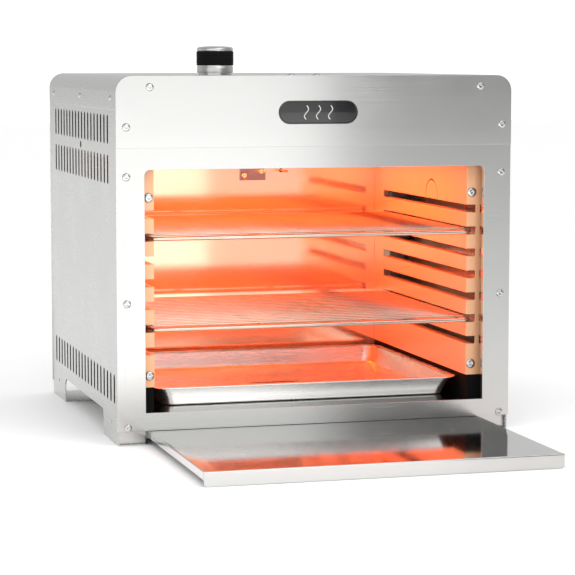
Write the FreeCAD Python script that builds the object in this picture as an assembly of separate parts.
"""Table-top gas broiler oven: a sheet-steel cabinet with an overhead ceramic burner,
two wire racks, a food pan and a pull-out shelf.

Millimetres, +Z up, front faces -Y, +X to the right.  The origin is on the floor, under
the middle of the whole length from the pulled-out shelf's lip to the gas inlet's tip.
Depths named ..._T are measured back from the front frame's front face.
"""
import FreeCAD, Part
import math
import os

V = FreeCAD.Vector

# ---------------------------------------------------------------- driving dimensions
CABINET_W = 460.0
CABINET_D = 423.0
CABINET_H = 408.0
SHEET = 1.2
LINER_SHEET = 1.0
CORNER_R = 18.0
FIT_GAP = 0.3
RUNNING_GAP = 0.05
REACH = 20.0                # how far a cutter runs past what it cuts

# front
POST_W = 32.0               # front frame, from its edge to the opening
HEAD_SPACE = 103.0          # from the opening's top to the roof
OPENING_LOW = 36.0
OPENING_R = 6.0
RETURN_DEPTH = 6.0
FRAME_LOW = 16.3
FASCIA_DROP = 79.0
SCREW_R = 4.6
SCREW_HEAD = 2.2
SCREW_SHANK_R = 2.0
SCREW_SHANK = 6.0
SOCKET_R = 1.6
SOCKET_START = 0.35         # share of the head's height that is left under the socket
SCREW_INSET = 11.5
FASCIA_TOP_SCREW_INSET = 38.0
FASCIA_TOP_SCREW_DROP = 12.5
FASCIA_SIDE_SCREW_DROP = 56.0
FRAME_TOP_SCREW_DROP = 110.5
FRAME_MID_SCREW_Z = 158.0
FRAME_LOW_SCREW_Z = 20.0
BADGE_W = 92.0
BADGE_H = 26.0
BADGE_DROP = 41.0
BADGE_T = 0.8
WAVE_PITCH = 14.0
WAVE_HALF_H = 8.0
WAVE_SWING = 3.0
WAVE_R = 0.9

# top cover
SKIRT_DROP = 37.5
RIVET_R = 3.4
RIVET_HEAD = 1.4
RIVET_Z_DROP = 24.5
RIVET_FRONT_T = 30.0
RIVET_MID_T = 212.0
RIVET_BACK_INSET = 31.0
TOP_SCREW_X = (-28.0, 1.0)
TOP_SCREW_T = 11.0

# side panels
VENT_PITCH = 19.55
VENT_W = 7.5
VENT_H = 32.5
UPPER_VENT_DROPS = (59.5, 104.2)
UPPER_VENT_FIRST_T = 52.0
UPPER_VENT_END = 36.0
LOWER_VENT_ROW = 60.8
LOWER_VENT_FIRST_T = 24.0
LOWER_VENT_END = 25.0
BACK_VENT_INSET = 60.0
SIDE_HOLE_R = 4.0
SIDE_HOLE_T = 215.0
SIDE_HOLE_DROP = 82.0
FOOT_LENGTH = 87.0
FOOT_RISE = 29.5
FOOT_CHAMFER = 7.0
FOOT_FLANGE = 34.0
FOOT_RIVET_Z = 21.0
FOOT_RIVET_FRONT_T = 40.0
FOOT_RIVET_BACK_INSET = 43.0
FOOT_RIVET_R = 2.4
FOOT_RIVET_HEAD = 1.0
EDGE_FLANGE = 14.0
BASE_SKIRT_T = 8.0          # how far the base strips stand behind the front
BASE_SKIRT_GAP = 3.0        # from the shelf's side to the strip

# cooking space
LINER_INSET = 46.0          # from the cabinet's side to the liner's inner face
LINER_RAISE = 26.0          # from the floor to the liner's lower edge
LINER_HIDE = 1.0            # how far the liners run up past the opening's top
LINER_FRONT_T = 18.0
LINER_FLANGE = 21.0
RAIL_LAP = 10.0
RAIL_FOOT = 14.0
REAR_SPACE = 61.0
LEVEL_FIRST_RISE = 36.0
LEVEL_PITCH = 25.4
SLOT_H = 9.0
SLOT_END_GAP = 37.0
LEDGE_W = 10.0
NOTCH_W = 11.0
OUTER_NOTCH_W = 5.0
ARC_R = 22.0
ARC_T = 141.0
ARC_DROP = 45.0
ARC_SLOT = 1.6
SLOT_LAND = 1.0             # least metal between the top slot and the arc
LINER_SCREW_DROP = 32.4
LINER_SCREW_RISE = 13.0
LINER_SCREW_R = 5.6
FLOOR_SIDE_RISE = 20.0
FLOOR_BACK_LAP = 8.0

# racks
RACK_WIRE_R = 2.5
RACK_OVERLAP = 7.0          # how far a rack reaches into the guide slots
RACK_FRONT_T = 14.5
RACK_STOP_GAP = 6.5
RACK_CORNER_R = 9.0
CROSS_WIRE_R = 1.3
CROSS_WIRE_COUNT = 19
CROSS_SINK = 0.25
RACK_STAY_X = 62.0
STAY_R = 2.0
LOWER_LEVEL = 1

# food pan
PAN_SIDE_GAP = 2.0
PAN_SLOPE = 9.0
PAN_HEIGHT = 22.0
PAN_FRONT_T = 32.0
PAN_BACK_GAP = 22.0
PAN_SHEET = 0.9
PAN_LIP = 4.5
PAN_CORNER_R = 14.0

# pull-out shelf
SHELF_SIDE_GAP = 4.0
SHELF_FRAME_GAP = 0.4
SHELF_ENGAGED = 85.0
SHELF_STOP_GAP = 10.0
SHELF_FLANGE = 8.6
SHELF_LIP_LOW = 0.5
SHELF_LIP_R = 3.0
RUNNER_LEDGE = 8.0
RUNNER_FRONT_T = 10.0
RUNNER_END_GAP = 12.0

# burner
PLAQUE_COLUMNS = 4
PLAQUE_ROWS = 3
PLAQUE_H = 13.0
PLAQUE_GAP = 1.0
PLAQUE_RISE = 11.0          # from the opening's top to the tiles
BURNER_SIDE_GAP = 20.0
BURNER_END_GAP = 26.0
PLENUM_H = 34.0
HOUSING_WALL = 1.0
GASKET_W = 8.0
MESH_ROD_R = 0.9
MESH_PITCH = 16.0
MESH_DROP = 5.0
MESH_EDGE = 4.0
SKIRT_INSET = 1.0
SHIELD_GAP = 3.0
SHIELD_SIDE_GAP = 2.0
SHIELD_FRONT_T = 12.0
SHIELD_BACK_GAP = 8.0
BRACKET_W = 18.0
BRACKET_DROP = 14.0
BRACKET_FOOT = 12.0
BRACKET_INSET = 30.0

# gas train
KNOB_INSET = 134.0
KNOB_T = 90.0
GAS_DROP = 26.0
PIPE_R = 4.0
PIPE_WALL = 1.0
VALVE_HALF = 12.0
VALVE_LOW_DROP = 38.0
VALVE_TOP_DROP = 11.0
PORT_R = 7.0
PORT_L = 8.0
VALVE_BRACKET_HALF = 16.0
VALVE_BRACKET_FOOT = 12.0
VALVE_BRACKET_DROPS = (14.0, 8.0)
VENTURI_R = 11.0
VENTURI_WALL = 1.0
VENTURI_GAP = 66.0          # from the knob's axis to the venturi's level run
VENTURI_RUN = 90.0
BELL_L = 12.0
BELL_FLARE = 5.0
JET_SETBACK = 26.0
JET_ACROSS = 12.0
JET_HEX_L = 8.0
JET_NOSE_L = 7.0
JET_NOSE_R = (4.5, 2.5)
JET_BORE_R = 0.6
INLET_R = 7.94
INLET_REACH = 22.0
INLET_THREAD = 14.0
INLET_NUT = 10.0
NECK_WALL = 1.9
HEX_ACROSS = 19.0

# ignition
IGNITER_X = 27.0
IGNITER_DROP = 21.0
IGNITER_SCREW_SHIFT = 18.0
IGNITER_SCREW_DROP = 6.0
PLATE_REACH = (24.0, 10.0)
PLATE_HEIGHT = (12.0, 6.0)
PROBE_X = 58.0
PROBE_REACH = 26.0
LEAD_R = 1.6
LEAD_HOLE_GAP = 1.0
LEAD_BEND = 10.0
LEAD_RUN_T = 36.0
LEAD_RISE = 16.0
LEAD_TURN = 60.0
LEAD_SPACING = 6.0
INSULATOR_R = 2.6
INSULATOR_L = 20.0
SPARK_WIRE_R = 0.8
SPARK_BEND = 3.0
SPARK_REACH = 14.0
SPARK_RISE = 8.0
PIEZO_R = 7.0
PIEZO_H = 22.0
PIEZO_SETBACK = 8.0
PIEZO_DROP = 4.0
CLIP = (8.0, 2.0, 10.0)
CLIP_RISE = 3.0

# knob
SPINDLE_R = 4.0
SPINDLE_GAP = 2.0
SPINDLE_FLAT = 1.2
SHOULDER_W = 1.5
SHOULDER_H = 0.9
SHOULDER_GAP = 0.1
SPINDLE_FOOT = 5.0
SPINDLE_SHORT = 6.0         # how far the spindle ends below the rubber ring's top
KNOB_PUSH = 2.0
COLLAR_R = 19.0
COLLAR_H = 5.5
KNOB_WALL_GAP = 0.4
KNOB_R = 20.5
KNOB_CHAMFER = 0.6
KNOB_SKIRT_LOW = 2.4
KNOB_SKIRT_TOP = 10.8
CORE_INSET = 6.0
GRIP_R = 21.4
GRIP_TOP = 26.8
GRIP_RIBS = 36
GRIP_RINGS = 5
RIB_DEPTH = 0.9
RING_DEPTH = 0.6
RIB_END = 1.2
CAP_TOP = 30.4
CAP_CROWN = 2.3
POINTER_START = 0.45        # share of the cap's radius where the pointer groove starts
POINTER_W = 1.6
POINTER_RISE = 0.4
SPRING_GAP = 1.3
SPRING_WIRE_R = 0.7
SPRING_TURNS = 4
SPRING_SINK = 7.0
SPRING_END_GAP = 0.05
SPRING_ROOM = 3.0
SEAT_W = 2.0
SEAT_H = 2.0
SEAT_GAP = 1.2

# ---------------------------------------------------------------- derived places
HALF_W = CABINET_W / 2
INNER_HALF = HALF_W - SHEET
OPENING_HALF = HALF_W - POST_W
OPENING_TOP = CABINET_H - HEAD_SPACE
FASCIA_LOW = CABINET_H - FASCIA_DROP
BADGE_Z = CABINET_H - BADGE_DROP
SKIRT_LOW_Z = CABINET_H - SKIRT_DROP
RIVET_Z = CABINET_H - RIVET_Z_DROP
RIVET_T = (RIVET_FRONT_T, RIVET_MID_T, CABINET_D - RIVET_BACK_INSET)
FOOT_RIVET_T = (FOOT_RIVET_FRONT_T, CABINET_D - FOOT_RIVET_BACK_INSET)
FRAME_SCREW_Z = (CABINET_H - FRAME_TOP_SCREW_DROP, FRAME_MID_SCREW_Z, FRAME_LOW_SCREW_Z)
UPPER_VENT_ROWS = tuple(CABINET_H - drop for drop in UPPER_VENT_DROPS)
UPPER_VENT_COUNT = int((CABINET_D - UPPER_VENT_END - UPPER_VENT_FIRST_T) // VENT_PITCH) + 1
LOWER_VENT_COUNT = int((CABINET_D - LOWER_VENT_END - LOWER_VENT_FIRST_T) // VENT_PITCH) + 1
BACK_VENT_COUNT = int(2 * (HALF_W - BACK_VENT_INSET) // VENT_PITCH) + 1
SIDE_HOLE_Z = CABINET_H - SIDE_HOLE_DROP

LINER_X = HALF_W - LINER_INSET
LINER_LOW = OPENING_LOW + LINER_RAISE
LINER_TOP = OPENING_TOP + LINER_HIDE
BACK_LINER_T = CABINET_D - REAR_SPACE
SLOT_END_T = BACK_LINER_T - SLOT_END_GAP
LEVEL_FIRST_Z = LINER_LOW + LEVEL_FIRST_RISE
ARC_Z = LINER_TOP - ARC_DROP
LEVELS = int((ARC_Z - SLOT_H - SLOT_LAND - LEVEL_FIRST_Z) // LEVEL_PITCH) + 1
UPPER_LEVEL = LEVELS - 2
LINER_SCREW_Z = (LINER_TOP - LINER_SCREW_DROP, LINER_LOW + LINER_SCREW_RISE)

RACK_HALF = LINER_X + RACK_OVERLAP
RACK_DEPTH = SLOT_END_T - RACK_STOP_GAP - RACK_FRONT_T
PAN_RIM_HALF = LINER_X - PAN_SIDE_GAP - PAN_LIP
PAN_BOTTOM_HALF = PAN_RIM_HALF - PAN_SLOPE
PAN_DEPTH = BACK_LINER_T - PAN_BACK_GAP - PAN_FRONT_T
SHELF_HALF = OPENING_HALF - SHELF_SIDE_GAP
SHELF_TOP = FRAME_LOW - SHELF_FRAME_GAP
RUNNER_BACK_T = BACK_LINER_T - RUNNER_END_GAP
SHELF_OUT = RUNNER_BACK_T - SHELF_ENGAGED - SHELF_STOP_GAP
FRONT_Y = SHELF_OUT - (SHELF_OUT + CABINET_D + INLET_REACH) / 2
BACK_Y = FRONT_Y + CABINET_D

HOUSING_HALF = LINER_X - BURNER_SIDE_GAP
HOUSING_HALF_D = (BACK_LINER_T - LINER_FRONT_T) / 2 - BURNER_END_GAP
BURNER_MID_T = (LINER_FRONT_T + BACK_LINER_T) / 2
PLAQUE_W = 2 * (HOUSING_HALF - GASKET_W) / PLAQUE_COLUMNS
PLAQUE_D = 2 * (HOUSING_HALF_D - GASKET_W) / PLAQUE_ROWS
PLAQUE_LOW = OPENING_TOP + PLAQUE_RISE
PLAQUE_TOP = PLAQUE_LOW + PLAQUE_H
HOUSING_TOP = PLAQUE_LOW + PLENUM_H
SKIRT_TOP = PLAQUE_LOW - 2 * LINER_SHEET

KNOB_X = KNOB_INSET - HALF_W
KNOB_Y = FRONT_Y + KNOB_T
GAS_Z = CABINET_H - GAS_DROP
VALVE_LOW = CABINET_H - VALVE_LOW_DROP
VALVE_TOP = CABINET_H - VALVE_TOP_DROP
VENTURI_START_X = KNOB_X + VENTURI_GAP
VENTURI_END_X = VENTURI_START_X + VENTURI_RUN
JET_X = VENTURI_START_X - JET_SETBACK
IGNITER_Z = OPENING_TOP - IGNITER_DROP
IGNITER_SCREW_X = IGNITER_X - IGNITER_SCREW_SHIFT
IGNITER_SCREW_Z = IGNITER_Z - IGNITER_SCREW_DROP
LEAD_T = BACK_LINER_T + LEAD_RUN_T
SPRING_COIL_R = SPINDLE_R + SPRING_WIRE_R + SPRING_GAP
SPRING_LOW = VALVE_TOP - SPRING_SINK
SPRING_HIGH = CABINET_H - SHEET - SEAT_H - SEAT_GAP


def depth_y(t):
    """Y of a depth t behind the front frame's face."""
    return FRONT_Y + t


def level_z(level):
    """Top face of the guide ledge of one rack level."""
    return LEVEL_FIRST_Z + LEVEL_PITCH * level


# ---------------------------------------------------------------- shape helpers
def block(x0, x1, t0, t1, z0, z1):
    """Box between two X, two depths and two heights."""
    return Part.makeBox(x1 - x0, t1 - t0, z1 - z0, V(x0, depth_y(t0), z0))


def rod(radius, start, end):
    """Solid cylinder from one point to another."""
    run = end - start
    return Part.makeCylinder(radius, run.Length, start, run)


def tube(outer, wall, start, end):
    """Open pipe from one point to another."""
    return rod(outer, start, end).cut(rod(outer - wall, start, end))


def mirrored(shape):
    """Copy on the other side of the cabinet."""
    return shape.mirror(V(0, 0, 0), V(1, 0, 0))


def both_sides(shape):
    """The piece and its mirror copy."""
    return [shape, mirrored(shape)]


def rounded_wire(u0, u1, v0, v1, low_r, high_r, place):
    """Closed outline of a rectangle with its low and its high corners rounded."""
    corners = [(u0, v0, low_r, 180), (u1, v0, low_r, 270), (u1, v1, high_r, 0), (u0, v1, high_r, 90)]
    edges = []
    last = None
    first = None
    for u, v, radius, start in corners:
        cu = u + radius if u == u0 else u - radius
        cv = v + radius if v == v0 else v - radius
        angles = [math.radians(start + turn) for turn in (0, 45, 90)]
        points = [place(cu + radius * math.cos(a), cv + radius * math.sin(a)) for a in angles]
        if last is not None:
            edges.append(Part.makeLine(last, points[0]))
        if radius > 0:
            edges.append(Part.Arc(*points).toShape())
        first = first or points[0]
        last = points[2]
    edges.append(Part.makeLine(last, first))
    return Part.Wire(edges)


def front_plate(half, z0, z1, low_r, high_r, t0, t1):
    """Upright plate across the cabinet, parallel to the front."""
    wire = rounded_wire(-half, half, z0, z1, low_r, high_r, lambda u, v: V(u, depth_y(t0), v))
    return Part.Face(wire).extrude(V(0, t1 - t0, 0))


def flat_plate(half, t0, t1, corner_r, z0, z1):
    """Level plate with rounded corners."""
    wire = rounded_wire(-half, half, depth_y(t0), depth_y(t1), corner_r, corner_r, lambda u, v: V(u, v, z0))
    return Part.Face(wire).extrude(V(0, 0, z1 - z0))


def side_slot(t, z, width, height):
    """Cutter for an upright round-ended slot through the right-hand side."""
    x = INNER_HALF - 3 * SHEET
    y = depth_y(t)
    wire = rounded_wire(y - width / 2, y + width / 2, z - height / 2, z + height / 2,
                        width / 2 - 0.01, width / 2 - 0.01, lambda u, v: V(x, u, v))
    return Part.Face(wire).extrude(V(6 * SHEET, 0, 0))


def dome(radius, height, base, direction):
    """Shallow button head standing on a face."""
    ball = (radius ** 2 + height ** 2) / (2 * height)
    axis = V(direction).normalize()
    sphere = Part.makeSphere(ball, base + axis * (height - ball))
    return sphere.common(Part.makeCylinder(radius, height, base, axis))


def screw(base, direction, radius=SCREW_R, head=SCREW_HEAD):
    """Button-head screw with a hexagon socket; its shank goes into the sheet."""
    axis = V(direction).normalize()
    body = dome(radius, head, base, axis)
    body = body.fuse(Part.makeCylinder(SCREW_SHANK_R, SCREW_SHANK, base - axis * SCREW_SHANK, axis))
    socket = hexagon(2 * SOCKET_R, base + axis * (head * SOCKET_START), axis, head)
    return body.cut(socket)


def rivet(base, direction, radius=RIVET_R, head=RIVET_HEAD):
    """Plain domed rivet with its shank."""
    axis = V(direction).normalize()
    shank_r = radius * 0.5
    return dome(radius, head, base, axis).fuse(
        Part.makeCylinder(shank_r, 4 * SHEET, base - axis * 4 * SHEET, axis))


def hexagon(across, base, direction, length):
    """Hexagonal bar of a given width across its flats."""
    radius = across / 2 / math.cos(math.pi / 6)
    points = [V(radius * math.cos(math.pi / 3 * i), radius * math.sin(math.pi / 3 * i), 0) for i in range(7)]
    bar = Part.Face(Part.makePolygon(points)).extrude(V(0, 0, length))
    bar.Placement = FreeCAD.Placement(base, FreeCAD.Rotation(V(0, 0, 1), V(direction)))
    return bar


def shank_holes(bases, direction):
    """Cutters for the holes that screws and rivets pass through."""
    axis = V(direction).normalize()
    reach = 3 * SCREW_SHANK
    radius = SCREW_SHANK_R + FIT_GAP
    return [Part.makeCylinder(radius, reach, base - axis * reach / 2, axis) for base in bases]


def bent_rod(radius, points, bend):
    """Round wire through a list of points, with a torus quarter at each corner."""
    edges = []
    start = points[0]
    for before, here, after in zip(points, points[1:], points[2:]):
        back = (before - here).normalize()
        ahead = (after - here).normalize()
        half_turn = (math.pi - back.getAngle(ahead)) / 2
        reach = bend * math.tan(half_turn)
        enter = here + back * reach
        leave = here + ahead * reach
        bisector = (back + ahead).normalize()
        middle = here + bisector * (bend / math.cos(half_turn) - bend)
        edges.append(Part.makeLine(start, enter))
        edges.append(Part.Arc(enter, middle, leave).toShape())
        start = leave
    edges.append(Part.makeLine(start, points[-1]))
    path = Part.Wire(edges)
    circle = Part.Wire(Part.makeCircle(radius, points[0], points[1] - points[0]))
    return path.makePipeShell([circle], True, False)


def save(name, shapes):
    """Write one node, made of one solid or of several separate ones."""
    if isinstance(shapes, list):
        shapes = Part.makeCompound(shapes)
    shapes.exportStep("parts/" + name + ".step")
    print(name, len(shapes.Solids), round(shapes.Volume), shapes.isValid())


# ---------------------------------------------------------------- screw places
def fascia_screw_places():
    """Where the four fascia screws stand."""
    top_x = HALF_W - FASCIA_TOP_SCREW_INSET
    top_z = CABINET_H - FASCIA_TOP_SCREW_DROP
    side_x = HALF_W - SCREW_INSET
    side_z = CABINET_H - FASCIA_SIDE_SCREW_DROP
    y = depth_y(-SHEET)
    return [V(s * x, y, z) for s in (-1, 1)
            for x, z in ((top_x, top_z), (side_x, side_z))]


def frame_screw_places():
    """Where the six front frame screws stand."""
    return [V(s * (HALF_W - SCREW_INSET), depth_y(0), z) for s in (-1, 1) for z in FRAME_SCREW_Z]


def cover_rivet_places():
    """Where the top cover's right-hand rivets stand."""
    return [V(HALF_W, depth_y(t), RIVET_Z) for t in RIVET_T]


def foot_rivet_places():
    """Where the right-hand foot rivets stand."""
    return [V(INNER_HALF, depth_y(t), FOOT_RIVET_Z) for t in FOOT_RIVET_T]


def back_screw_places():
    """Where the back panel's six screws stand."""
    return [V(s * (HALF_W - SCREW_INSET), BACK_Y, z) for s in (-1, 1) for z in FRAME_SCREW_Z]


# ---------------------------------------------------------------- cabinet
def make_top_cover():
    """Sheet wrapped over the top, with rounded shoulders and side skirts."""
    outer = front_plate(HALF_W, SKIRT_LOW_Z, CABINET_H, 0, CORNER_R, SHEET, CABINET_D - SHEET)
    inner = front_plate(INNER_HALF, SKIRT_LOW_Z - 1, CABINET_H - SHEET, 0, CORNER_R - SHEET, 0, CABINET_D)
    cover = outer.cut(inner)
    cutters = shank_holes(cover_rivet_places(), V(1, 0, 0))
    cutters += [mirrored(hole) for hole in cutters]
    cutters.append(Part.makeCylinder(SPINDLE_R + SPINDLE_GAP, REACH, V(KNOB_X, KNOB_Y, CABINET_H - REACH / 2)))
    cutters += shank_holes([V(x, depth_y(TOP_SCREW_T), CABINET_H) for x in TOP_SCREW_X], V(0, 0, 1))
    return cover.cut(cutters)


def make_fascia():
    """Plate across the top of the front, lapped over the front frame."""
    plate = front_plate(HALF_W, FASCIA_LOW, CABINET_H, 0, CORNER_R, -SHEET, 0)
    return plate.cut(shank_holes(fascia_screw_places(), V(0, -1, 0)))


def make_front_frame():
    """Front plate with the cooking opening; three sides of the opening are folded in."""
    plate = front_plate(HALF_W, FRAME_LOW, CABINET_H, 0, CORNER_R, 0, SHEET)
    fold = front_plate(OPENING_HALF + SHEET, OPENING_LOW, OPENING_TOP + SHEET, 0, OPENING_R + SHEET,
                       SHEET, SHEET + RETURN_DEPTH)
    opening = front_plate(OPENING_HALF, OPENING_LOW - 1, OPENING_TOP, 0, OPENING_R, -REACH, REACH)
    fold = fold.cut(opening)
    sill = block(-HALF_W, HALF_W, -REACH, REACH, OPENING_LOW - 2, OPENING_LOW)
    opening = opening.cut(sill)
    frame = plate.cut(opening).fuse(fold)
    holes = shank_holes(frame_screw_places() + fascia_screw_places(), V(0, -1, 0))
    return frame.cut(holes).removeSplitter()


def make_side_panel():
    """Right-hand side: vents, round hole, foot cut-out and folded edges."""
    inner = INNER_HALF - SHEET
    top = CABINET_H - CORNER_R
    panel = block(inner, INNER_HALF, SHEET, CABINET_D - SHEET, 0, top)
    front_fold = block(INNER_HALF - EDGE_FLANGE, inner, SHEET, 2 * SHEET, FRAME_LOW, top)
    back_t = CABINET_D - SHEET
    back_fold = block(INNER_HALF - EDGE_FLANGE, inner, back_t - SHEET, back_t, FRAME_LOW, top)
    panel = panel.fuse([front_fold, back_fold])
    low_t = FOOT_LENGTH
    high_t = CABINET_D - FOOT_LENGTH
    chamfer_z = FOOT_RISE - FOOT_CHAMFER
    outline = [(low_t, -1), (low_t, chamfer_z), (low_t + FOOT_CHAMFER, FOOT_RISE),
               (high_t - FOOT_CHAMFER, FOOT_RISE), (high_t, chamfer_z), (high_t, -1), (low_t, -1)]
    points = [V(inner - REACH / 2, depth_y(t), z) for t, z in outline]
    cutters = [Part.Face(Part.makePolygon(points)).extrude(V(REACH, 0, 0))]
    for row in UPPER_VENT_ROWS:
        for i in range(UPPER_VENT_COUNT):
            cutters.append(side_slot(UPPER_VENT_FIRST_T + VENT_PITCH * i, row, VENT_W, VENT_H))
    for i in range(LOWER_VENT_COUNT):
        cutters.append(side_slot(LOWER_VENT_FIRST_T + VENT_PITCH * i, LOWER_VENT_ROW, VENT_W, VENT_H))
    hole = V(HALF_W, depth_y(SIDE_HOLE_T), SIDE_HOLE_Z)
    cutters.append(rod(SIDE_HOLE_R, hole - V(REACH, 0, 0), hole + V(REACH, 0, 0)))
    cutters += shank_holes(cover_rivet_places() + foot_rivet_places(), V(1, 0, 0))
    cutters += shank_holes(frame_screw_places(), V(0, -1, 0))
    cutters += shank_holes(back_screw_places(), V(0, -1, 0))
    cutters += shank_holes([V(place.x, BACK_Y, place.z) for place in fascia_screw_places()], V(0, -1, 0))
    cutters += shank_holes(fascia_screw_places(), V(0, -1, 0))
    panel = panel.cut(cutters)
    for t0, t1 in ((SHEET, FOOT_LENGTH), (CABINET_D - FOOT_LENGTH, CABINET_D - SHEET)):
        panel = panel.fuse(block(inner - FOOT_FLANGE, inner, t0, t1, 0, SHEET))
    return panel.removeSplitter()


def make_back_panel():
    """Rear plate with two vent rows and the gas inlet's hole."""
    plate = front_plate(HALF_W, FRAME_LOW, CABINET_H, 0, CORNER_R, CABINET_D - SHEET, CABINET_D)
    cutters = shank_holes(back_screw_places(), V(0, 1, 0))
    neck_hole_r = PIPE_R + NECK_WALL + 2 * RUNNING_GAP
    cutters.append(rod(neck_hole_r, V(KNOB_X, BACK_Y - REACH, GAS_Z), V(KNOB_X, BACK_Y + REACH, GAS_Z)))
    span = VENT_PITCH * (BACK_VENT_COUNT - 1)
    for row in (UPPER_VENT_ROWS[1], LOWER_VENT_ROW):
        for i in range(BACK_VENT_COUNT):
            x = VENT_PITCH * i - span / 2
            wire = rounded_wire(x - VENT_W / 2, x + VENT_W / 2, row - VENT_H / 2, row + VENT_H / 2,
                                VENT_W / 2 - 0.01, VENT_W / 2 - 0.01, lambda u, v: V(u, BACK_Y - REACH / 2, v))
            cutters.append(Part.Face(wire).extrude(V(0, REACH, 0)))
    return plate.cut(cutters)


def make_floor_panel():
    """Bright oven floor with side edges turned up behind the liners."""
    half = INNER_HALF - SHEET - FIT_GAP
    back_t = BACK_LINER_T + FLOOR_BACK_LAP
    floor = block(-half, half, 2 * SHEET + FIT_GAP, back_t, OPENING_LOW - SHEET, OPENING_LOW)
    tongue_half = INNER_HALF - EDGE_FLANGE - FIT_GAP
    tongue = block(-tongue_half, tongue_half, SHEET, EDGE_FLANGE, OPENING_LOW - SHEET, OPENING_LOW)
    rise = block(half - SHEET, half, EDGE_FLANGE, BACK_LINER_T, OPENING_LOW, OPENING_LOW + FLOOR_SIDE_RISE)
    return floor.fuse(both_sides(rise) + [tongue]).removeSplitter()


def make_base_skirt():
    """Right-hand recessed strip that closes the base beside the shelf."""
    outer = INNER_HALF - SHEET - FIT_GAP
    low = SHEET + FIT_GAP
    back_t = BASE_SKIRT_T + SHEET
    face = block(SHELF_HALF + BASE_SKIRT_GAP, outer, BASE_SKIRT_T, back_t, low, OPENING_LOW - SHEET)
    fold = block(outer - SHEET, outer, back_t, FOOT_LENGTH - BASE_SKIRT_T, low, OPENING_LOW - SHEET)
    return face.fuse(fold).cut(shank_holes(foot_rivet_places(), V(1, 0, 0)))


def make_runner():
    """Right-hand angle that carries the shelf's folded edge."""
    web_in = SHELF_HALF + FIT_GAP
    web_out = web_in + SHEET
    ledge_top = SHELF_TOP - SHELF_FLANGE - FIT_GAP
    web = block(web_in, web_out, RUNNER_FRONT_T, RUNNER_BACK_T, ledge_top - SHEET, OPENING_LOW - SHEET)
    ledge = block(web_in - RUNNER_LEDGE, web_out, RUNNER_FRONT_T, RUNNER_BACK_T, ledge_top - SHEET, ledge_top)
    return web.fuse(ledge).removeSplitter()


# ---------------------------------------------------------------- cooking space
def make_side_liner():
    """Right-hand liner: seven guide slots with ledges, and a notched front flange."""
    outer = LINER_X + LINER_SHEET
    front = LINER_FRONT_T
    sheet = block(LINER_X, outer, front, BACK_LINER_T - FIT_GAP, LINER_LOW, LINER_TOP)
    flange = block(LINER_X, LINER_X + LINER_FLANGE, front, front + LINER_SHEET, LINER_LOW, LINER_TOP)
    cutters = []
    ledges = []
    edge = LINER_X + LINER_FLANGE
    for level in range(LEVELS):
        z = level_z(level)
        cutters.append(block(LINER_X - 1, outer + 1, front - 1, SLOT_END_T, z, z + SLOT_H))
        cutters.append(block(LINER_X - 1, LINER_X + NOTCH_W, front - 1, front + 3, z, z + SLOT_H))
        cutters.append(block(edge - OUTER_NOTCH_W, edge + 1, front - 1, front + 3, z, z + SLOT_H))
        ledges.append(block(outer, outer + LEDGE_W, front + LINER_SHEET, SLOT_END_T, z - LINER_SHEET, z))
    y = depth_y(ARC_T)
    ring = rod(ARC_R, V(LINER_X - 1, y, ARC_Z), V(outer + 1, y, ARC_Z))
    ring = ring.cut(rod(ARC_R - ARC_SLOT, V(LINER_X - 1, y, ARC_Z), V(outer + 1, y, ARC_Z)))
    cutters.append(ring.cut(block(LINER_X - 2, outer + 2, 0, BACK_LINER_T, 0, ARC_Z)))
    for z in LINER_SCREW_Z:
        cutters.append(rod(SCREW_SHANK_R + FIT_GAP, V(liner_screw_x(), depth_y(front - 2), z),
                           V(liner_screw_x(), depth_y(front + 5), z)))
    return sheet.fuse(flange).cut(cutters).fuse(ledges).removeSplitter()


def make_liner_rail():
    """Right-hand dark angle on the floor that carries the liner and closes the gap below it."""
    x0 = LINER_X + LINER_SHEET
    front = LINER_FRONT_T
    back = BACK_LINER_T - FIT_GAP
    web = block(x0, x0 + SHEET, front + LINER_SHEET, back, OPENING_LOW, LINER_LOW + RAIL_LAP)
    face = block(x0, LINER_X + LINER_FLANGE, front, front + SHEET, OPENING_LOW, LINER_LOW)
    foot = block(x0, x0 + RAIL_FOOT, front, back, OPENING_LOW, OPENING_LOW + SHEET)
    return web.fuse([face, foot]).removeSplitter()


def liner_screw_x():
    """Where the liner's front screws stand: their heads just clear the cooking space."""
    return LINER_X + LINER_SCREW_R + FIT_GAP


def make_back_liner():
    """Bright rear wall of the cooking space."""
    half = LINER_X + LINER_FLANGE
    wall = block(-half, half, BACK_LINER_T, BACK_LINER_T + LINER_SHEET, OPENING_LOW, PLAQUE_TOP)
    lead_hole = LEAD_R + LEAD_HOLE_GAP
    y0 = depth_y(BACK_LINER_T - REACH)
    y1 = depth_y(BACK_LINER_T + REACH)
    holes = [rod(r, V(x, y0, z), V(x, y1, z))
             for x, z, r in ((IGNITER_X, IGNITER_Z, lead_hole), (PROBE_X, IGNITER_Z, lead_hole),
                             (IGNITER_SCREW_X, IGNITER_SCREW_Z, SCREW_SHANK_R + FIT_GAP))]
    return wall.cut(holes)


def make_burner_skirt():
    """Four-sided shroud under the burner with a shelf that holds the housing."""
    half = LINER_X - SKIRT_INSET
    t0 = LINER_FRONT_T + LINER_SHEET
    t1 = BACK_LINER_T - FIT_GAP
    ring = block(-half, half, t0, t1, LINER_TOP, SKIRT_TOP)
    ring = ring.cut(block(-half + LINER_SHEET, half - LINER_SHEET, t0 + LINER_SHEET, t1 - LINER_SHEET,
                          LINER_TOP - 1, SKIRT_TOP - LINER_SHEET))
    mouth_x = HOUSING_HALF - GASKET_W
    mouth_d = HOUSING_HALF_D - GASKET_W
    return ring.cut(block(-mouth_x, mouth_x, BURNER_MID_T - mouth_d, BURNER_MID_T + mouth_d, 0, CABINET_H))


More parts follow.
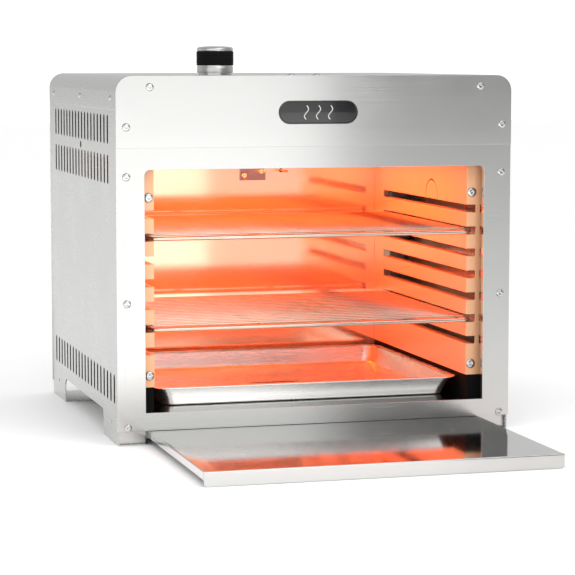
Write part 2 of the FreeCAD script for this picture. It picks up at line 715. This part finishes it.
# ---------------------------------------------------------------- burner
def make_plaques():
    """Ceramic tiles in rows, a small gap apart."""
    tiles = []
    for i in range(PLAQUE_COLUMNS):
        for j in range(PLAQUE_ROWS):
            x = (i - PLAQUE_COLUMNS / 2) * PLAQUE_W
            t = BURNER_MID_T + (j - PLAQUE_ROWS / 2) * PLAQUE_D
            tiles.append(block(x + PLAQUE_GAP / 2, x + PLAQUE_W - PLAQUE_GAP / 2, t + PLAQUE_GAP / 2,
                               t + PLAQUE_D - PLAQUE_GAP / 2, PLAQUE_LOW, PLAQUE_TOP))
    return tiles


def make_gasket():
    """Fibre frame round the outside of the tiles."""
    outer = block(-HOUSING_HALF + HOUSING_WALL, HOUSING_HALF - HOUSING_WALL,
                  BURNER_MID_T - HOUSING_HALF_D + HOUSING_WALL, BURNER_MID_T + HOUSING_HALF_D - HOUSING_WALL,
                  PLAQUE_LOW, PLAQUE_TOP)
    half = HOUSING_HALF - GASKET_W
    half_d = HOUSING_HALF_D - GASKET_W
    return outer.cut(block(-half, half, BURNER_MID_T - half_d, BURNER_MID_T + half_d, 0, CABINET_H))


def make_housing():
    """Gas plenum: a pressed lid over the tiles."""
    outer = block(-HOUSING_HALF, HOUSING_HALF, BURNER_MID_T - HOUSING_HALF_D, BURNER_MID_T + HOUSING_HALF_D,
                  PLAQUE_LOW, HOUSING_TOP)
    half = HOUSING_HALF - HOUSING_WALL
    half_d = HOUSING_HALF_D - HOUSING_WALL
    shell = outer.cut(block(-half, half, BURNER_MID_T - half_d, BURNER_MID_T + half_d,
                            PLAQUE_LOW - 1, HOUSING_TOP - HOUSING_WALL))
    return shell.cut(Part.makeCylinder(VENTURI_R, REACH, V(VENTURI_END_X, KNOB_Y, HOUSING_TOP - REACH / 2)))


def make_mesh():
    """Square wire screen below the tiles, hung on the skirt's shelf."""
    z = SKIRT_TOP - MESH_DROP
    half = LINER_X - SKIRT_INSET - LINER_SHEET - FIT_GAP
    t0 = LINER_FRONT_T + 2 * LINER_SHEET + FIT_GAP
    t1 = BACK_LINER_T - 2 * FIT_GAP - LINER_SHEET
    rods = []
    columns = int(2 * (half - MESH_EDGE) // MESH_PITCH)
    rows = int((t1 - t0 - 2 * MESH_EDGE) // MESH_PITCH)
    low_z = z - 2 * MESH_ROD_R - RUNNING_GAP
    for i in range(columns + 1):
        x = (i - columns / 2) * MESH_PITCH
        rods.append(rod(MESH_ROD_R, V(x, depth_y(t0), z), V(x, depth_y(t1), z)))
    for j in range(rows + 1):
        y = depth_y((t0 + t1) / 2 + (j - rows / 2) * MESH_PITCH)
        rods.append(rod(MESH_ROD_R, V(-half, y, low_z), V(half, y, low_z)))
    return rods


def make_heat_shield():
    """Plate that keeps the burner's heat off the valve."""
    z = HOUSING_TOP + SHIELD_GAP
    half = INNER_HALF - SHEET - SHIELD_SIDE_GAP
    plate = block(-half, half, SHIELD_FRONT_T, CABINET_D - SHIELD_BACK_GAP, z, z + LINER_SHEET)
    low = z - REACH / 2
    holes = [Part.makeCylinder(VENTURI_R + FIT_GAP, REACH, V(VENTURI_END_X, KNOB_Y, low))]
    for x in (IGNITER_X, PROBE_X):
        holes.append(Part.makeCylinder(LEAD_R + LEAD_HOLE_GAP, REACH, V(x, depth_y(LEAD_T), low)))
    return plate.cut(holes)


def make_burner_bracket(t):
    """Right-hand hanger strap from the burner housing to the side panel."""
    inner = HOUSING_HALF
    outer = INNER_HALF - SHEET
    z = HOUSING_TOP - BRACKET_DROP
    strap = block(inner, outer, t, t + BRACKET_W, z, z + SHEET)
    tab = block(outer - SHEET, outer, t, t + BRACKET_W, z, z + BRACKET_FOOT)
    foot = block(inner, inner + SHEET, t, t + BRACKET_W, z - BRACKET_FOOT, z)
    return strap.fuse([tab, foot])


# ---------------------------------------------------------------- ignition
def make_igniter_bracket():
    """Small plate on the rear wall that carries the spark insulator."""
    plate = block(IGNITER_X - PLATE_REACH[0], IGNITER_X + PLATE_REACH[1], BACK_LINER_T - SHEET, BACK_LINER_T,
                  IGNITER_Z - PLATE_HEIGHT[0], IGNITER_Z + PLATE_HEIGHT[1])
    y0 = depth_y(BACK_LINER_T - REACH)
    y1 = depth_y(BACK_LINER_T + REACH)
    holes = [rod(INSULATOR_R + RUNNING_GAP, V(IGNITER_X, y0, IGNITER_Z), V(IGNITER_X, y1, IGNITER_Z)),
             rod(SCREW_SHANK_R + FIT_GAP, V(IGNITER_SCREW_X, y0, IGNITER_SCREW_Z),
                 V(IGNITER_SCREW_X, y1, IGNITER_SCREW_Z))]
    return plate.cut(holes)


def make_igniter():
    """Ceramic insulator with a bent spark wire that ends below the tiles."""
    back = V(IGNITER_X, depth_y(BACK_LINER_T), IGNITER_Z)
    front = V(IGNITER_X, depth_y(BACK_LINER_T - INSULATOR_L), IGNITER_Z)
    tip = front - V(0, SPARK_REACH, 0)
    end = tip + V(0, 0, SPARK_RISE)
    wire = bent_rod(SPARK_WIRE_R, [front, tip, end], SPARK_BEND)
    return rod(INSULATOR_R, front, back).fuse(wire)


def make_lead(x, turn, end_x):
    """Insulated lead: up behind the rear wall, forward over the heat shield and across to the valve."""
    high = GAS_Z + LEAD_RISE
    back_y = depth_y(LEAD_T)
    turn_y = KNOB_Y + turn
    points = [V(x, depth_y(BACK_LINER_T), IGNITER_Z), V(x, back_y, IGNITER_Z), V(x, back_y, high),
              V(x, turn_y, high), V(end_x, turn_y, high), V(end_x, KNOB_Y + VALVE_HALF, high)]
    return bent_rod(LEAD_R, points, LEAD_BEND)


def make_probe():
    """Thermocouple tip that stands in the cooking space."""
    y = depth_y(BACK_LINER_T)
    return rod(LEAD_R, V(PROBE_X, y - PROBE_REACH, IGNITER_Z), V(PROBE_X, y, IGNITER_Z))


# ---------------------------------------------------------------- gas train
def make_valve_body():
    """Brass valve with its ports, bored for the spindle and the return spring."""
    body = Part.makeBox(2 * VALVE_HALF, 2 * VALVE_HALF, VALVE_TOP - VALVE_LOW,
                        V(KNOB_X - VALVE_HALF, KNOB_Y - VALVE_HALF, VALVE_LOW))
    centre = V(KNOB_X, KNOB_Y, GAS_Z)
    reach = VALVE_HALF + PORT_L
    side_port = rod(PORT_R, centre + V(VALVE_HALF, 0, 0), centre + V(reach, 0, 0))
    rear_port = rod(PORT_R, centre + V(0, VALVE_HALF, 0), centre + V(0, reach, 0))
    body = body.fuse([side_port, rear_port])
    bore = Part.makeCylinder(SPINDLE_R + RUNNING_GAP, 2 * REACH, centre)
    spring_room = Part.makeCylinder(SPRING_COIL_R + SPRING_ROOM, 2 * REACH, V(KNOB_X, KNOB_Y, SPRING_LOW))
    return body.cut([bore, spring_room]).removeSplitter()


def make_valve_bracket():
    """Channel that hangs the valve below the top cover."""
    z = CABINET_H - SHEET
    half = VALVE_HALF + SHEET
    x0 = KNOB_X - half
    x1 = KNOB_X + half
    t0 = KNOB_T - VALVE_BRACKET_HALF
    t1 = KNOB_T + VALVE_BRACKET_HALF
    left = block(x0, x0 + SHEET, t0, t1, VALVE_TOP - VALVE_BRACKET_DROPS[0], z)
    right = block(x1 - SHEET, x1, t0, t1, VALVE_TOP - VALVE_BRACKET_DROPS[1], z)
    left_foot = block(x0 - VALVE_BRACKET_FOOT, x0, t0, t1, z - SHEET, z)
    right_foot = block(x1, x1 + VALVE_BRACKET_FOOT, t0, t1, z - SHEET, z)
    return [left.fuse(left_foot), right.fuse(right_foot)]


def make_spring():
    """Return spring of the knob: round wire in a helix."""
    low = SPRING_LOW + SPRING_WIRE_R + SPRING_END_GAP
    height = SPRING_HIGH - SPRING_WIRE_R - SPRING_END_GAP - low
    rise = height / SPRING_TURNS
    helix = Part.makeHelix(rise, height, SPRING_COIL_R)
    along = V(0, 2 * math.pi * SPRING_COIL_R, rise)
    circle = Part.Wire(Part.makeCircle(SPRING_WIRE_R, V(SPRING_COIL_R, 0, 0), along))
    spring = Part.Wire(helix).makePipeShell([circle], True, True)
    spring.translate(V(KNOB_X, KNOB_Y, low))
    return spring


def make_spring_seat():
    """Collar that the spring lifts; it slides on the spindle without turning."""
    ring = Part.makeCylinder(SPRING_COIL_R + SEAT_W, SEAT_H, V(KNOB_X, KNOB_Y, SPRING_HIGH))
    return ring.cut(Part.makeCylinder(SPINDLE_R + RUNNING_GAP, SEAT_H, V(KNOB_X, KNOB_Y, SPRING_HIGH)))


def make_spindle():
    """Turning shaft from the valve up into the knob, with a shoulder over the spring seat."""
    low = GAS_Z + SPINDLE_FOOT
    high = CABINET_H + GRIP_TOP - SPINDLE_SHORT
    shaft = Part.makeCylinder(SPINDLE_R, high - low, V(KNOB_X, KNOB_Y, low))
    shoulder_z = SPRING_HIGH + SEAT_H + SHOULDER_GAP
    shoulder = Part.makeCylinder(SPINDLE_R + SHOULDER_W, SHOULDER_H, V(KNOB_X, KNOB_Y, shoulder_z))
    flat_corner = V(KNOB_X + SPINDLE_R - SPINDLE_FLAT, KNOB_Y - REACH / 2, CABINET_H + KNOB_SKIRT_TOP + 1)
    flat = Part.makeBox(REACH, REACH, REACH, flat_corner)
    return shaft.cut(flat).fuse(shoulder)


def make_collar():
    """Fixed ring on the top cover, just inside the knob's skirt."""
    ring = Part.makeCylinder(COLLAR_R, COLLAR_H, V(KNOB_X, KNOB_Y, CABINET_H))
    return ring.cut(Part.makeCylinder(SPINDLE_R + SPINDLE_GAP, COLLAR_H, V(KNOB_X, KNOB_Y, CABINET_H)))


def make_knob_skirt():
    """Turned metal lower part of the knob, hollow so that it can be pushed down."""
    low = CABINET_H + KNOB_SKIRT_LOW
    top = CABINET_H + KNOB_SKIRT_TOP
    body = Part.makeCylinder(KNOB_R, top - low, V(KNOB_X, KNOB_Y, low))
    room_h = COLLAR_H + KNOB_PUSH + FIT_GAP - KNOB_SKIRT_LOW
    room = Part.makeCylinder(COLLAR_R + KNOB_WALL_GAP, room_h, V(KNOB_X, KNOB_Y, low))
    bore = Part.makeCylinder(SPINDLE_R, 2 * REACH, V(KNOB_X, KNOB_Y, low))
    return body.makeChamfer(KNOB_CHAMFER, [body.Edges[0], body.Edges[2]]).cut([room, bore])


def make_grip():
    """Knurled rubber ring of the knob: upright grooves crossed by level ones."""
    low = CABINET_H + KNOB_SKIRT_TOP
    high = CABINET_H + GRIP_TOP
    body = Part.makeCylinder(GRIP_R, high - low, V(KNOB_X, KNOB_Y, low))
    grooves = []
    for i in range(GRIP_RIBS):
        a = 2 * math.pi * i / GRIP_RIBS
        place = V(KNOB_X + GRIP_R * math.cos(a), KNOB_Y + GRIP_R * math.sin(a), low + RIB_END)
        grooves.append(Part.makeCylinder(RIB_DEPTH, high - low - 2 * RIB_END, place))
    for i in range(1, GRIP_RINGS + 1):
        z = low + (high - low) * i / (GRIP_RINGS + 1)
        grooves.append(Part.makeTorus(GRIP_R, RING_DEPTH, V(KNOB_X, KNOB_Y, z)))
    core = Part.makeCylinder(KNOB_R - CORE_INSET, high - low, V(KNOB_X, KNOB_Y, low))
    return body.cut(grooves + [core])


def make_knob_core():
    """Moulded hub that joins the rubber ring, the skirt and the spindle."""
    low = CABINET_H + KNOB_SKIRT_TOP
    high = CABINET_H + GRIP_TOP
    hub = Part.makeCylinder(KNOB_R - CORE_INSET, high - low, V(KNOB_X, KNOB_Y, low))
    bore = Part.makeCylinder(SPINDLE_R, high - SPINDLE_SHORT - low, V(KNOB_X, KNOB_Y, low))
    return hub.cut(bore)


def make_knob_cap():
    """Metal cap with a low crown and a pointer groove."""
    low = CABINET_H + GRIP_TOP
    rim = CABINET_H + CAP_TOP
    side = Part.makeCylinder(KNOB_R, rim - low, V(KNOB_X, KNOB_Y, low))
    crown = dome(KNOB_R, CAP_CROWN, V(KNOB_X, KNOB_Y, rim), V(0, 0, 1))
    corner = V(KNOB_X + KNOB_R * POINTER_START, KNOB_Y - POINTER_W / 2, rim + POINTER_RISE)
    groove = Part.makeBox(KNOB_R, POINTER_W, CAP_CROWN, corner)
    return side.fuse(crown).cut(groove).removeSplitter()


def make_venturi():
    """Mixing tube: bell mouth, level run and elbow down into the housing."""
    z = GAS_Z
    mouth_x = VENTURI_START_X - BELL_L
    bell = Part.makeCone(VENTURI_R + BELL_FLARE, VENTURI_R, BELL_L, V(mouth_x, KNOB_Y, z), V(1, 0, 0))
    level = rod(VENTURI_R, V(VENTURI_START_X, KNOB_Y, z), V(VENTURI_END_X, KNOB_Y, z))
    drop = rod(VENTURI_R, V(VENTURI_END_X, KNOB_Y, HOUSING_TOP - HOUSING_WALL), V(VENTURI_END_X, KNOB_Y, z))
    knuckle = Part.makeSphere(VENTURI_R, V(VENTURI_END_X, KNOB_Y, z))
    inner_r = VENTURI_R - VENTURI_WALL
    mouth = V(mouth_x - 0.01, KNOB_Y, z)
    bore = [Part.makeCone(inner_r + BELL_FLARE, inner_r, BELL_L + 0.01, mouth, V(1, 0, 0)),
            rod(inner_r, V(VENTURI_START_X, KNOB_Y, z), V(VENTURI_END_X, KNOB_Y, z)),
            rod(inner_r, V(VENTURI_END_X, KNOB_Y, HOUSING_TOP - REACH), V(VENTURI_END_X, KNOB_Y, z)),
            Part.makeSphere(inner_r, V(VENTURI_END_X, KNOB_Y, z))]
    return bell.fuse([level, drop, knuckle]).cut(bore).removeSplitter()


def make_injector():
    """Brass jet that points into the venturi's mouth."""
    start = V(JET_X, KNOB_Y, GAS_Z)
    hexed = hexagon(JET_ACROSS, start, V(1, 0, 0), JET_HEX_L)
    nose = Part.makeCone(*JET_NOSE_R, JET_NOSE_L, start + V(JET_HEX_L, 0, 0), V(1, 0, 0))
    jet = rod(JET_BORE_R, start - V(1, 0, 0), start + V(REACH, 0, 0))
    return hexed.fuse(nose).cut(jet)


def make_manifold():
    """Short pipe from the valve to the jet."""
    start = V(KNOB_X + VALVE_HALF + PORT_L, KNOB_Y, GAS_Z)
    return tube(PIPE_R, PIPE_WALL, start, V(JET_X, KNOB_Y, GAS_Z))


def make_supply_pipe():
    """Pipe from the rear inlet to the valve."""
    start = V(KNOB_X, KNOB_Y + VALVE_HALF + PORT_L, GAS_Z)
    return tube(PIPE_R, PIPE_WALL, start, V(KNOB_X, BACK_Y - SHEET - INLET_NUT, GAS_Z))


def make_inlet():
    """Bulkhead fitting: inner nut, hexagon against the panel and a threaded spigot."""
    hex_start = V(KNOB_X, BACK_Y, GAS_Z)
    inside = V(KNOB_X, BACK_Y - SHEET, GAS_Z)
    neck = rod(PIPE_R + NECK_WALL, inside, hex_start)
    nut = hexagon(HEX_ACROSS, inside - V(0, INLET_NUT, 0), V(0, 1, 0), INLET_NUT)
    collar = hexagon(HEX_ACROSS, hex_start, V(0, 1, 0), INLET_REACH - INLET_THREAD)
    spigot = rod(INLET_R, V(KNOB_X, BACK_Y + INLET_REACH - INLET_THREAD, GAS_Z),
                 V(KNOB_X, BACK_Y + INLET_REACH, GAS_Z))
    bore = rod(PIPE_R - PIPE_WALL, inside - V(0, REACH, 0), hex_start + V(0, INLET_REACH + 1, 0))
    return nut.fuse([neck, collar, spigot]).cut(bore).removeSplitter()


def make_piezo():
    """Spark generator clipped to the valve's front."""
    centre = V(KNOB_X, KNOB_Y - VALVE_HALF - PIEZO_SETBACK, VALVE_LOW - PIEZO_DROP)
    body = rod(PIEZO_R, centre, centre + V(0, 0, PIEZO_H))
    clip = Part.makeBox(*CLIP, V(KNOB_X - CLIP[0] / 2, KNOB_Y - VALVE_HALF - CLIP[1], VALVE_LOW + CLIP_RISE))
    return body.fuse(clip)


# ---------------------------------------------------------------- racks, pan, shelf
def make_rack_frame(level):
    """Rounded rectangle of thick wire with two stays across it."""
    r = RACK_WIRE_R
    z = level_z(level) + FIT_GAP + r
    x = RACK_HALF - r
    y0 = depth_y(RACK_FRONT_T + r)
    y1 = depth_y(RACK_FRONT_T + RACK_DEPTH - r)
    bend = RACK_CORNER_R
    pieces = []
    for side in (-1, 1):
        pieces.append(rod(r, V(side * x, y0 + bend, z), V(side * x, y1 - bend, z)))
        pieces.append(rod(STAY_R, V(side * RACK_STAY_X, y0, z), V(side * RACK_STAY_X, y1, z)))
    for y in (y0, y1):
        pieces.append(rod(r, V(-x + bend, y, z), V(x - bend, y, z)))
    corners = ((1, y1 - bend, 0), (-1, y1 - bend, 90), (-1, y0 + bend, 180), (1, y0 + bend, 270))
    for side, cy, turn in corners:
        quarter = Part.makeTorus(bend, r, V(0, 0, 0), V(0, 0, 1), -180, 180, 90)
        quarter.Placement = FreeCAD.Placement(V(side * (x - bend), cy, z), FreeCAD.Rotation(V(0, 0, 1), turn))
        pieces.append(quarter)
    return pieces[0].fuse(pieces[1:]).removeSplitter()


def make_rack_wires(level):
    """Thin wires laid across the frame, welded on its side bars."""
    z = level_z(level) + FIT_GAP + 2 * RACK_WIRE_R + CROSS_WIRE_R - CROSS_SINK
    x = RACK_HALF - RACK_WIRE_R
    first = RACK_FRONT_T + RACK_CORNER_R + RACK_WIRE_R
    span = RACK_DEPTH - 2 * (RACK_CORNER_R + RACK_WIRE_R)
    pitch = span / (CROSS_WIRE_COUNT - 1)
    wires = []
    for i in range(CROSS_WIRE_COUNT):
        y = depth_y(first + pitch * i)
        wires.append(rod(CROSS_WIRE_R, V(-x, y, z), V(x, y, z)))
    return wires


def make_pan():
    """Shallow tray with sloped walls and a flat lip."""
    z0 = OPENING_LOW + FIT_GAP
    slope = PAN_RIM_HALF - PAN_BOTTOM_HALF

    def ring(inset, low_z, share):
        """Rounded outline part of the way up the wall."""
        half = PAN_BOTTOM_HALF + slope * share - inset
        t0 = PAN_FRONT_T + PAN_LIP + slope * (1 - share) + inset
        t1 = PAN_FRONT_T + PAN_DEPTH - PAN_LIP - slope * (1 - share) - inset
        corner = PAN_CORNER_R - inset
        return rounded_wire(-half, half, depth_y(t0), depth_y(t1), corner, corner, lambda u, v: V(u, v, low_z))

    rim_z = z0 + PAN_HEIGHT
    outer = Part.makeLoft([ring(0, z0, 0), ring(0, rim_z, 1)], True, True)
    inner = Part.makeLoft([ring(PAN_SHEET, z0 + PAN_SHEET, 0), ring(PAN_SHEET, rim_z + 0.01, 1)], True, True)
    half = PAN_RIM_HALF + PAN_LIP
    lip = flat_plate(half, PAN_FRONT_T, PAN_FRONT_T + PAN_DEPTH, PAN_CORNER_R + PAN_LIP, rim_z - PAN_SHEET, rim_z)
    return outer.fuse(lip).cut(inner).removeSplitter()


def make_shelf():
    """Flat bright shelf with folded-down sides and front lip."""
    t0 = -SHELF_OUT
    t1 = SHELF_ENGAGED
    sheet = LINER_SHEET
    top = block(-SHELF_HALF, SHELF_HALF, t0, t1, SHELF_TOP - sheet, SHELF_TOP)
    side = block(SHELF_HALF - sheet, SHELF_HALF, t0, t1, SHELF_TOP - SHELF_FLANGE, SHELF_TOP)
    lip = front_plate(SHELF_HALF, SHELF_LIP_LOW, SHELF_TOP, SHELF_LIP_R, 0, t0, t0 + sheet)
    return top.fuse(both_sides(side) + [lip]).removeSplitter()


def make_badge():
    """Blank oval name plate on the fascia."""
    t = -SHEET - BADGE_T
    r = BADGE_H / 2 - 0.01
    z = BADGE_Z
    wire = rounded_wire(-BADGE_W / 2, BADGE_W / 2, z - BADGE_H / 2, z + BADGE_H / 2, r, r,
                        lambda u, v: V(u, depth_y(t), v))
    return Part.Face(wire).extrude(V(0, BADGE_T, 0))


def make_badge_waves():
    """Three upright S-shaped ridges on the name plate."""
    waves = []
    face_t = -SHEET - BADGE_T
    y = depth_y(face_t)
    before_face = block(-BADGE_W, BADGE_W, face_t - REACH, face_t, 0, CABINET_H)
    h = WAVE_HALF_H
    for i in (-1, 0, 1):
        x = i * WAVE_PITCH
        middle = V(x, y, BADGE_Z)
        foot = middle - V(0, 0, h)
        low = Part.Arc(foot, V(x - WAVE_SWING, y, BADGE_Z - h / 2), middle).toShape()
        high = Part.Arc(middle, V(x + WAVE_SWING, y, BADGE_Z + h / 2), middle + V(0, 0, h)).toShape()
        circle = Part.Wire(Part.makeCircle(WAVE_R, foot, low.tangentAt(low.FirstParameter)))
        ridge = Part.Wire([low, high]).makePipeShell([circle], True, False)
        waves.append(ridge.common(before_face))
    return waves


# ---------------------------------------------------------------- write every node
os.makedirs("parts", exist_ok=True)

side_panel = make_side_panel()
side_liner = make_side_liner()
runner = make_runner()
save("side_panel_right", side_panel)
save("side_panel_left", mirrored(side_panel))
save("top_cover", make_top_cover())
save("fascia_panel", make_fascia())
save("front_frame", make_front_frame())
save("badge_plate", make_badge())
save("badge_waves", make_badge_waves())
save("back_panel", make_back_panel())
save("floor_panel", make_floor_panel())
save("base_skirts", both_sides(make_base_skirt()))
save("shelf_runner_right", runner)
save("shelf_runner_left", mirrored(runner))
save("side_liner_right", side_liner)
save("side_liner_left", mirrored(side_liner))
liner_rail = make_liner_rail()
save("liner_rail_right", liner_rail)
save("liner_rail_left", mirrored(liner_rail))
save("back_liner", make_back_liner())
save("burner_skirt", make_burner_skirt())
save("burner_housing", make_housing())
save("ceramic_plaques", make_plaques())
save("burner_gasket", make_gasket())
save("burner_mesh", make_mesh())
save("heat_shield", make_heat_shield())
bracket_depths = (BURNER_MID_T - HOUSING_HALF_D + BRACKET_INSET,
                  BURNER_MID_T + HOUSING_HALF_D - BRACKET_INSET - BRACKET_W)
save("burner_brackets", [piece for t in bracket_depths for piece in both_sides(make_burner_bracket(t))])

save("valve_body", make_valve_body())
save("valve_bracket", make_valve_bracket())
save("gas_supply_pipe", make_supply_pipe())
save("manifold_pipe", make_manifold())
save("gas_injector", make_injector())
save("venturi_tube", make_venturi())
save("inlet_fitting", make_inlet())
save("piezo_unit", make_piezo())
save("igniter_bracket", make_igniter_bracket())
save("igniter_electrode", make_igniter())
save("igniter_lead", make_lead(IGNITER_X, LEAD_TURN, KNOB_X - LEAD_SPACING))
save("thermocouple_probe", make_probe())
save("thermocouple_lead", make_lead(PROBE_X, LEAD_TURN - LEAD_SPACING, KNOB_X + LEAD_SPACING))

save("fascia_screws", [screw(place, V(0, -1, 0)) for place in fascia_screw_places()])
save("frame_screws", [screw(place, V(0, -1, 0)) for place in frame_screw_places()])
save("back_screws", [screw(place, V(0, 1, 0)) for place in back_screw_places()])
save("top_screws", [screw(V(x, depth_y(TOP_SCREW_T), CABINET_H), V(0, 0, 1)) for x in TOP_SCREW_X])
save("cover_rivets", [piece for place in cover_rivet_places()
                      for piece in both_sides(rivet(place, V(1, 0, 0)))])
save("foot_rivets", [piece for place in foot_rivet_places()
                     for piece in both_sides(rivet(place, V(1, 0, 0), FOOT_RIVET_R, FOOT_RIVET_HEAD))])
liner_places = [V(liner_screw_x(), depth_y(LINER_FRONT_T), z) for z in LINER_SCREW_Z]
save("liner_screws", [piece for place in liner_places
                      for piece in both_sides(screw(place, V(0, -1, 0), LINER_SCREW_R, SCREW_HEAD))])
igniter_screw_place = V(IGNITER_SCREW_X, depth_y(BACK_LINER_T - SHEET), IGNITER_SCREW_Z)
save("igniter_screw", screw(igniter_screw_place, V(0, -1, 0)))

save("knob_collar", make_collar())
save("valve_spring", make_spring())
save("spring_seat", make_spring_seat())
save("valve_spindle", make_spindle())
save("knob_skirt", make_knob_skirt())
save("knob_grip_ring", make_grip())
save("knob_core", make_knob_core())
save("knob_cap", make_knob_cap())

for name, level in (("upper", UPPER_LEVEL), ("lower", LOWER_LEVEL)):
    save(name + "_rack_frame", make_rack_frame(level))
    save(name + "_rack_wires", make_rack_wires(level))
save("food_pan", make_pan())
save("pull_out_shelf", make_shelf())
